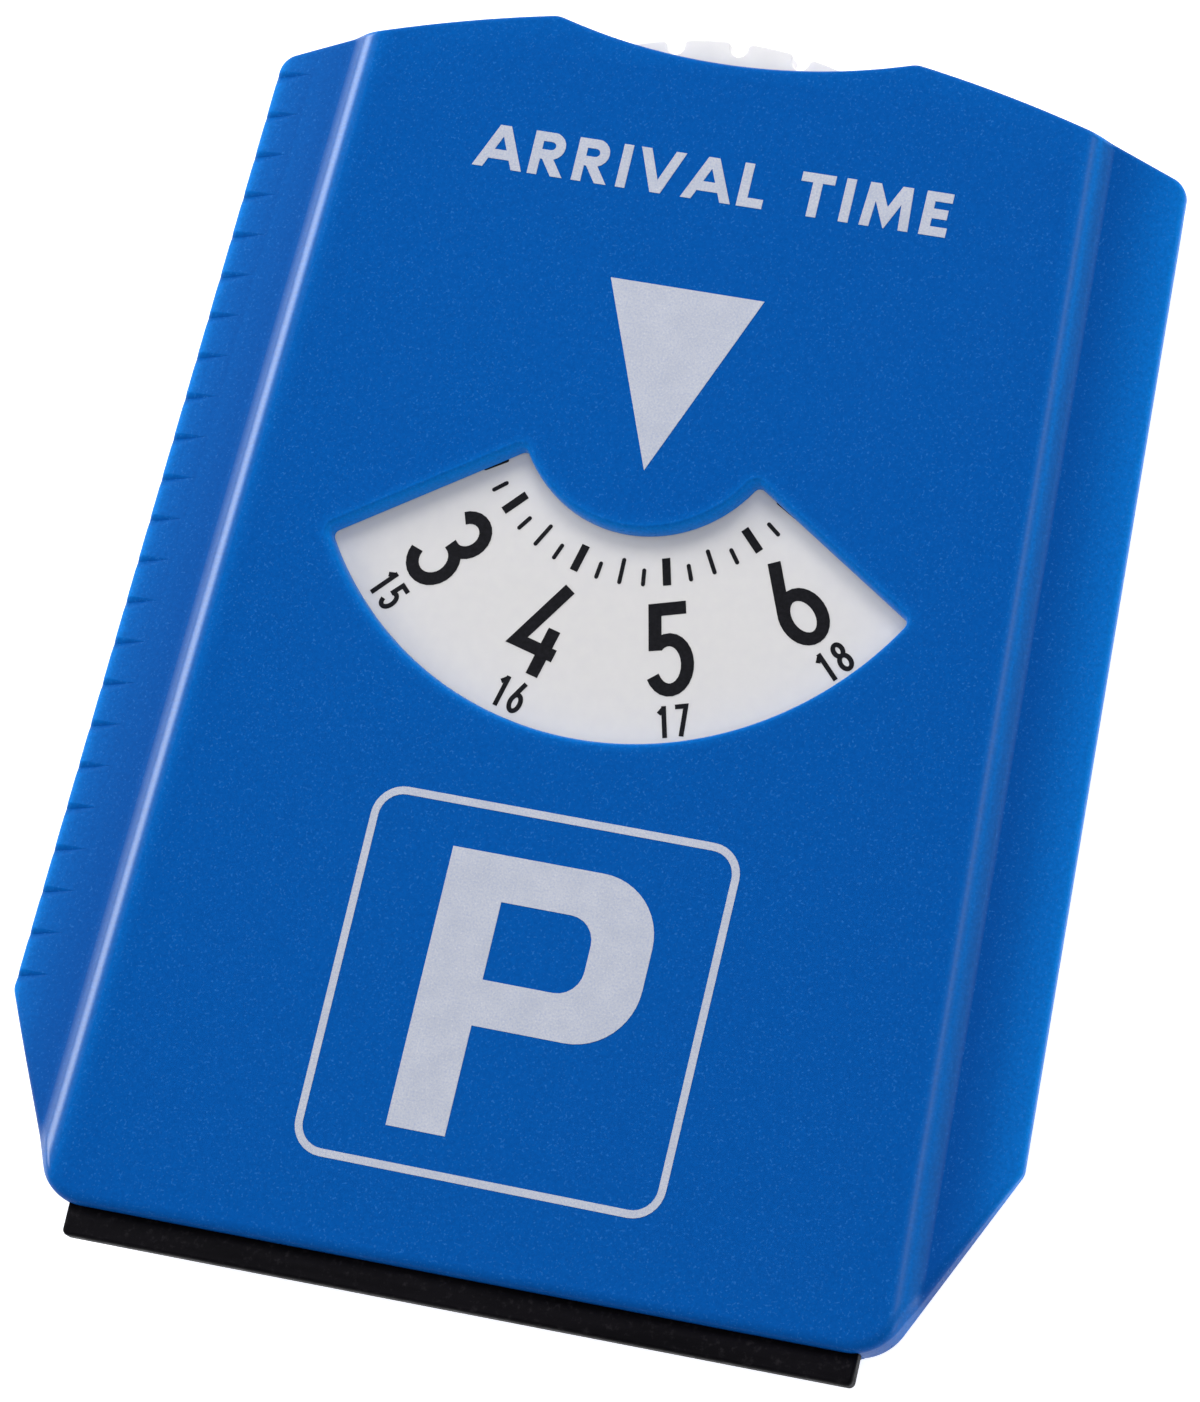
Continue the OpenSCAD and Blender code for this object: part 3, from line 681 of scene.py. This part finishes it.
def build_rear():
    loops = [REAR_OUTLINE] + [inset(REAR_OUTLINE, REAR_EDGE * f) for f in RING]
    loops += [inset(REAR_OUTLINE, SEAM_EDGE * f) for f in SEAM_RING]
    loops += [BACK_PANEL] + [inset(BACK_PANEL, PANEL_EDGE * f) for f in (0.25, 0.5, 0.75, 1)]
    loops += [circle(x, y, r, 32) for x, y in EJECTORS for r in (EJECTOR_R, 2.85)]
    loops += [circle(0, AXIS_Y, r, 40) for r in REAR_RINGS]
    loops += [circle(0, AXIS_Y, POCKET_R, 160), hollow_loop()]
    loops += pin_loops(POST_R, PINS[1:]) + pin_loops(SOCKET_R, PINS) + RAIL_LOOPS
    top = Side(1, rear_inside, None, [(REAR_OUTLINE, SEAM_EDGE, 1)])
    bottom = Side(-1, lambda p: np.zeros(len(p)), back_height, [(REAR_OUTLINE, REAR_EDGE, 1)])
    return shell("rear_shell", loops, POCKET_LINES, REAR_OUTLINE, [], top, bottom,
                 lambda v: {"glow": np.full(len(v), REAR_PAINTED_LIGHT)})


# ---------------------------------------------------------------- the dial


def dial_outline():
    """The grip rim: blocks with rounded corners between U-shaped gaps."""
    block, r = 360 // DIAL_BLOCKS, DIAL_R
    half = math.degrees(math.asin(GAP_R / r))
    mouth = math.sqrt(r * r - GAP_R * GAP_R)
    turn = math.radians(block / 2)
    start = np.array([r * math.cos(turn), -r * math.sin(turn)])
    lower = rounded(start, (mouth, -GAP_R), (GAP_AT - 1, -GAP_R), GAP_LIP, 5)
    upper = lower[::-1] * (1, -1)
    inner = arc(GAP_AT, 0, GAP_R, -90, -270, 12)
    inner = inner[inner[:, 0] < min(lower[-1][0], GAP_AT) + 1e-6]
    flank = arc(0, 0, r, -block / 2, -half - math.degrees(GAP_LIP / r) * 1.05, 4)
    other = (flank * (1, -1))[::-1]
    x, y = np.concatenate([flank, lower, inner, upper, other[:-1]]).T
    points = []
    for k in range(DIAL_BLOCKS):
        a = math.radians(block * k + DIAL_TURNED)
        ca, sa = math.cos(a), math.sin(a)
        points.append(np.stack([x * ca - y * sa, x * sa + y * ca + AXIS_Y], 1))
    return without_repeats(np.concatenate(points))


DIAL_OUTLINE = dial_outline()
DIAL_PAINTED_GLOW_R, DIAL_PAINTED_GLOW_RUN = 41, 1.5


def dial_under(p):
    """Levels of the dial's underside."""
    r = from_axis(p)
    return np.where(r < DIAL_HUB, HUB_FOOT_Z, np.where(r > DIAL_RIM_IN, RIM_FOOT_Z, DIAL_FOOT_Z))


def dial_painted_glow(v):
    """The dial's painted glow, which grows to 1 on the grip rim."""
    return {"glow": np.clip((from_axis(v[:, :2]) - DIAL_PAINTED_GLOW_R) / DIAL_PAINTED_GLOW_RUN, 0, 1)}


def build_dial():
    bore = circle(0, AXIS_Y, DIAL_BORE, 64)
    loops = [DIAL_OUTLINE] + [inset(DIAL_OUTLINE, DIAL_EDGE * f) for f in DIAL_RING]
    loops += [bore, circle(0, AXIS_Y, DIAL_HUB, 64), circle(0, AXIS_Y, DIAL_RIM_IN, 160)]
    rounds = [(DIAL_OUTLINE, DIAL_EDGE, 1)]
    top = Side(1, lambda p: np.where(from_axis(p) < DIAL_HUB, HUB_Z, DIAL_Z), None, rounds)
    bottom = Side(-1, dial_under, None, rounds)
    return shell("dial_plate", loops, [], DIAL_OUTLINE, [bore], top, bottom, dial_painted_glow)


# ---------------------------------------------------------------- the lip


def build_lip():
    """The blade, which is rounded, with the thicker root that the covers hold."""
    x, y0, y1 = LIP_HIGH[0], LIP_LOW[1], LIP_HIGH[1]
    root_y = y1 - ROOT_DEPTH
    outline = np.concatenate([
        rounded((-x, 0), (-x, y0), (0, y0), BLADE_CORNER, 8),
        rounded((0, y0), (x, y0), (x, 0), BLADE_CORNER, 8),
        np.array([(x, root_y), (x, y1), (-x, y1), (-x, root_y)])])
    loops = [outline] + [inset(outline, BLADE_EDGE * f) for f in RING] + [inset(outline, 1.2)]
    lines = [np.array([(-FAR_X, root_y), (FAR_X, root_y)])]
    # The rounding follows the blade only: its loop closes well beyond the root.
    blade = outline[outline[:, 1] < root_y + 0.01]
    rounds = [(np.concatenate([blade, [(x, y1 + 9), (-x, y1 + 9)]]), BLADE_EDGE, 1)]
    top = Side(1, lambda p: np.where(p[:, 1] < root_y, BLADE_HIGH, LIP_HIGH[2]), None, rounds)
    bottom = Side(-1, lambda p: np.where(p[:, 1] < root_y, BLADE_LOW, LIP_LOW[2]), None, rounds)
    return shell("lip_blade", loops, lines, outline, [], top, bottom)


# ---------------------------------------------------------------- materials
# Noise scales are in cells per metre: 1000 makes grains of about a millimetre. Bumps are in metres.

WHITE = (1, 1, 1, 1)
MIX_FACTOR, MIX_A, MIX_B, MIX_RESULT = 0, 6, 7, 2       # a Mix node's sockets for colours


def srgb(*levels):
    """The linear colour of three sRGB levels from 0 to 255."""
    shares = [level / 255 for level in levels]
    return tuple(c / 12.92 if c <= 0.04045 else ((c + 0.055) / 1.055) ** 2.4 for c in shares) + (1,)


class Paint:
    """A node material with one Principled shader, built from object coordinates in metres."""

    def __init__(self, name, **inputs):
        self.mat = bpy.data.materials.new(name)
        self.mat.use_nodes = True
        self.tree = self.mat.node_tree
        self.bsdf = self.tree.nodes["Principled BSDF"]
        for key, value in inputs.items():
            self.bsdf.inputs[key.replace("_", " ")].default_value = value
        self.where = self.node("ShaderNodeTexCoord").outputs["Object"]

    def node(self, kind, **settings):
        n = self.tree.nodes.new(kind)
        for key, value in settings.items():
            setattr(n, key, value)
        return n

    def link(self, a, b):
        self.tree.links.new(a, b)

    def feed(self, value, socket):
        """Gives a socket a constant, or the output of another node."""
        if isinstance(value, (int, float, tuple)):
            socket.default_value = value
        else:
            self.link(value, socket)

    def noise(self, scale, detail=2.0, rough=0.5, stretch=None):
        n = self.node("ShaderNodeTexNoise")
        n.inputs["Scale"].default_value = scale
        n.inputs["Detail"].default_value = detail
        n.inputs["Roughness"].default_value = rough
        source = self.where
        if stretch:
            m = self.node("ShaderNodeMapping")
            m.inputs["Scale"].default_value = stretch
            self.link(source, m.inputs["Vector"])
            source = m.outputs["Vector"]
        self.link(source, n.inputs["Vector"])
        return n.outputs["Fac"]

    def remap(self, value, lo, hi, to_lo, to_hi):
        n = self.node("ShaderNodeMapRange")
        for key, v in zip(("From Min", "From Max", "To Min", "To Max"), (lo, hi, to_lo, to_hi)):
            n.inputs[key].default_value = v
        self.link(value, n.inputs["Value"])
        return n.outputs["Result"]

    def math(self, op, a, b):
        n = self.node("ShaderNodeMath", operation=op)
        for socket, v in zip(n.inputs, (a, b)):
            self.feed(v, socket)
        return n.outputs[0]

    def ramp(self, value, stops):
        n = self.node("ShaderNodeValToRGB")
        while len(n.color_ramp.elements) < len(stops):
            n.color_ramp.elements.new(0.5)
        for e, (at, colour) in zip(n.color_ramp.elements, stops):
            e.position, e.color = at, colour
        self.link(value, n.inputs["Fac"])
        return n.outputs["Color"]

    def mix(self, fac, a, b):
        n = self.node("ShaderNodeMix", data_type="RGBA")
        for socket, v in ((MIX_FACTOR, fac), (MIX_A, a), (MIX_B, b)):
            self.feed(v, n.inputs[socket])
        return n.outputs[MIX_RESULT]

    def colour(self, out):
        self.link(out, self.bsdf.inputs["Base Color"])

    def rough(self, out):
        self.link(out, self.bsdf.inputs["Roughness"])

    def bump(self, height, distance, strength, under=None):
        n = self.node("ShaderNodeBump")
        n.inputs["Strength"].default_value = strength
        n.inputs["Distance"].default_value = distance
        self.link(height, n.inputs["Height"])
        if under:
            self.link(under, n.inputs["Normal"])
        self.link(n.outputs["Normal"], self.bsdf.inputs["Normal"])
        return n.outputs["Normal"]

    def attribute(self, name):
        return self.node("ShaderNodeAttribute", attribute_name=name).outputs["Fac"]


def blue_plastic(name, shade):
    """Satin blue with a fine grain and painted glints: lighter and glowing where the painted light
    is high, darker where it is low, glossy where the shine is.
    """
    m = Paint(name, IOR=1.5, Specular_IOR_Level=0.035, Coat_IOR=2.0, Coat_Roughness=0.3)
    m.bsdf.inputs["Emission Color"].default_value = (0.001, 0.3, 1.0, 1)
    glow = m.attribute("glow")
    # Painted light: the ramp lightens or darkens the colour and the emission makes it glow,
    # standing in for light and shade.
    base = m.ramp(glow, [
        (0.0, srgb(5, 70 * shade, 150 * shade)), (0.3, srgb(6, 86 * shade, 168 * shade)),
        (0.7, srgb(8, 106, 194)), (1.0, srgb(14, 126, 216))])
    m.link(m.remap(glow, 0.75, 1.0, 0, 0.16), m.bsdf.inputs["Emission Strength"])
    m.link(m.attribute("shine"), m.bsdf.inputs["Coat Weight"])
    # The light flecks are painted glints of the grain's bumps; the dark mottle is the plastic's own
    # tone.
    painted_glint = m.remap(m.noise(3300, 1.0, 0.6), 0.6, 0.78, 0, 1)
    mottle = m.remap(m.noise(2600, 2.0, 0.6), 0.3, 0.7, 0, 1)
    dark = m.mix(m.math("MULTIPLY", mottle, 0.32), base, srgb(3, 62, 132))
    m.colour(m.mix(m.math("MULTIPLY", painted_glint, 0.32), dark, srgb(60, 135, 215)))
    wiped = m.remap(m.noise(90, 3.0, 0.6, (1, 0.15, 1)), 0.5, 0.75, 0, 0.06)
    m.rough(m.math("ADD", m.remap(m.noise(1500, 2.0), 0.3, 0.7, 0.26, 0.36), wiped))
    fine = m.bump(m.noise(2600, 3.0, 0.6), 0.00004, 0.35)
    m.bump(m.noise(120, 1.0), 0.00015, 0.2, fine)
    return m.mat


def white_plastic():
    """Off-white that lets light through, with a painted glow that lifts its shade everywhere, most
    of all at the grip rim.
    """
    m = Paint("dial_white", IOR=1.5, Specular_IOR_Level=0.3,
              Subsurface_Weight=0.25, Subsurface_Scale=0.001)
    m.bsdf.inputs["Subsurface Radius"].default_value = (1.2, 1.1, 1.3)
    m.bsdf.inputs["Emission Color"].default_value = WHITE
    # Painted glow: the emission lifts the dial's shade, most of all on the grip rim.
    m.link(m.remap(m.attribute("glow"), 0, 1, 0.06, 0.2), m.bsdf.inputs["Emission Strength"])
    cloud = m.remap(m.noise(700, 3.0), 0.3, 0.7, 0, 0.5)
    m.colour(m.mix(cloud, srgb(209, 207, 206), srgb(203, 201, 202)))
    m.rough(m.remap(m.noise(1200, 2.0), 0.3, 0.7, 0.38, 0.5))
    m.bump(m.noise(2200, 2.0), 0.00002, 0.3)
    return m.mat


def rubber():
    """Matte black, streaked along the blade and dusty."""
    m = Paint("lip_rubber", IOR=1.5, Specular_IOR_Level=0.14)
    streak = m.noise(500, 3.0, 0.6, (0.12, 1, 1))
    dust = m.remap(m.noise(1400, 4.0, 0.7), 0.55, 0.8, 0, 1)
    base = m.mix(m.remap(streak, 0.35, 0.7, 0, 1), srgb(7, 6, 10), srgb(14, 12, 17))
    m.colour(m.mix(m.math("MULTIPLY", dust, 0.25), base, srgb(70, 66, 70)))
    m.rough(m.remap(m.noise(900, 3.0), 0.3, 0.7, 0.5, 0.7))
    fine = m.bump(m.noise(1800, 3.0, 0.6), 0.00005, 0.4)
    m.bump(m.noise(300, 2.0, 0.5, (0.08, 1, 1)), 0.00008, 0.25, fine)
    return m.mat


def black_ink():
    """The dial's pad-printed ink."""
    m = Paint("dial_ink", IOR=1.45, Specular_IOR_Level=0.3)
    grain = m.remap(m.noise(2500, 3.0), 0.35, 0.7, 0, 1)
    m.colour(m.mix(grain, srgb(16, 16, 20), srgb(27, 27, 32)))
    m.rough(m.remap(m.noise(1500, 2.0), 0.3, 0.7, 0.4, 0.55))
    m.bump(m.noise(3500, 2.0), 0.00001, 0.3)
    return m.mat


def silver_print():
    """The face's screen-printed ink: a silver grey with light and dark specks."""
    m = Paint("face_print", IOR=1.45, Specular_IOR_Level=0.3)
    grain = m.noise(4200, 2.0, 0.7)
    cloud = m.noise(350, 3.0, 0.6)
    base = m.mix(m.remap(cloud, 0.3, 0.7, 0, 1), srgb(184, 188, 200), srgb(194, 197, 207))
    speck = m.mix(m.remap(grain, 0.25, 0.55, 0.55, 0), base, srgb(140, 156, 196))
    m.colour(m.mix(m.remap(grain, 0.6, 0.8, 0, 0.6), speck, srgb(226, 226, 233)))
    m.rough(m.remap(grain, 0.3, 0.7, 0.45, 0.65))
    m.bump(grain, 0.00003, 0.4)
    return m.mat


def dress(obj, material, body=None, replaces=None):
    """Paints a piece; one of this script's own is also attached to its body and hides the CAD node
    it replaces.
    """
    obj.data.materials.clear()
    obj.data.materials.append(material)
    if body:
        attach(obj, body)
        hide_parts(replaces)


# ---------------------------------------------------------------- the pieces

dress(build_front(), blue_plastic("cover_blue", 1.0), "case", "front_cover")
dress(build_rear(), blue_plastic("rear_blue", 0.96), "case", "rear_cover")
dress(build_lip(), rubber(), "case", "squeegee_lip")
dress(build_dial(), white_plastic(), "dial", "time_dial")
INK, PRINT = black_ink(), silver_print()
for key in ("dial_hour_numerals", "dial_24h_numerals",
            "dial_hour_ticks", "dial_half_hour_ticks", "dial_quarter_ticks"):
    dress(NODES[key], INK)
for key in ("title_print", "arrow_print", "sign_frame_print", "sign_letter_print"):
    dress(NODES[key], PRINT)

# ---------------------------------------------------------------- floor, lamps, camera, in metres

FLOOR_HALF, FLOOR_GAP = 3, 0.0002


def floor():
    """A pale floor just under the part, lit from within so that it renders white."""
    mesh = bpy.data.meshes.new("floor")
    h = FLOOR_HALF
    mesh.from_pydata([(-h, -h, 0), (h, -h, 0), (h, h, 0), (-h, h, 0)], [], [(0, 1, 2, 3)])
    obj = bpy.data.objects.new("floor", mesh)
    bpy.context.scene.collection.objects.link(obj)
    obj.location.z = -FLOOR_GAP
    m = Paint("floor_pale", Roughness=0.9, Specular_IOR_Level=0.1, Emission_Strength=0.75)
    m.bsdf.inputs["Emission Color"].default_value = WHITE
    m.colour(m.mix(m.noise(3, 2.0), srgb(240, 240, 240), srgb(244, 244, 244)))
    mesh.materials.append(m.mat)


def lamp(name, at, size, power, glossy=True):
    """A rectangular white lamp that points at the origin; glossy lets reflections show it."""
    light = bpy.data.lights.new(name, "AREA")
    light.shape = "RECTANGLE"
    light.size, light.size_y = size
    light.energy = power
    obj = bpy.data.objects.new(name, light)
    bpy.context.scene.collection.objects.link(obj)
    obj.location = at
    obj.rotation_euler = (Vector((0, 0, 0)) - Vector(at)).to_track_quat("-Z", "Y").to_euler()
    obj.visible_glossy = glossy


def place(azimuth, elevation, distance):
    """A point by its compass angle from +y towards +x, its height angle and its distance."""
    a, e = math.radians(azimuth), math.radians(elevation)
    return (distance * math.sin(a) * math.cos(e), distance * math.cos(a) * math.cos(e),
            distance * math.sin(e))


floor()
lamp("back_soft", place(0, 50, 1.15), (0.5, 0.5), 6.0, glossy=False)
lamp("front_fill", place(131, 70, 1.3), (0.8, 0.8), 4.9, glossy=False)
lamp("left_strip", place(-71, 30, 1.1), (1.0, 0.55), 6.0)
lamp("right_card", place(60, 58, 1.1), (0.4, 0.4), 0.26)
world = bpy.data.worlds.new("studio")
world.use_nodes = True
sky = world.node_tree.nodes["Background"]
sky.inputs["Color"].default_value = (0.9, 0.93, 1.0, 1)
sky.inputs["Strength"].default_value = 0.28
world.cycles_visibility.glossy = False
bpy.context.scene.world = world
bpy.context.scene.view_settings.view_transform = "Standard"

# Position, turn and lens were solved from the photo's perspective.
camera = bpy.data.cameras.new("camera")
camera.sensor_width = 36
camera.lens = 175.0
camera.clip_start, camera.clip_end = 0.02, 20
eye = bpy.data.objects.new("camera", camera)
bpy.context.scene.collection.objects.link(eye)
eye.location = (0.21411, -0.15915, 0.72677)
eye.rotation_euler = tuple(math.radians(a) for a in (15.009, 13.499, 12.963))
bpy.context.scene.camera = eye
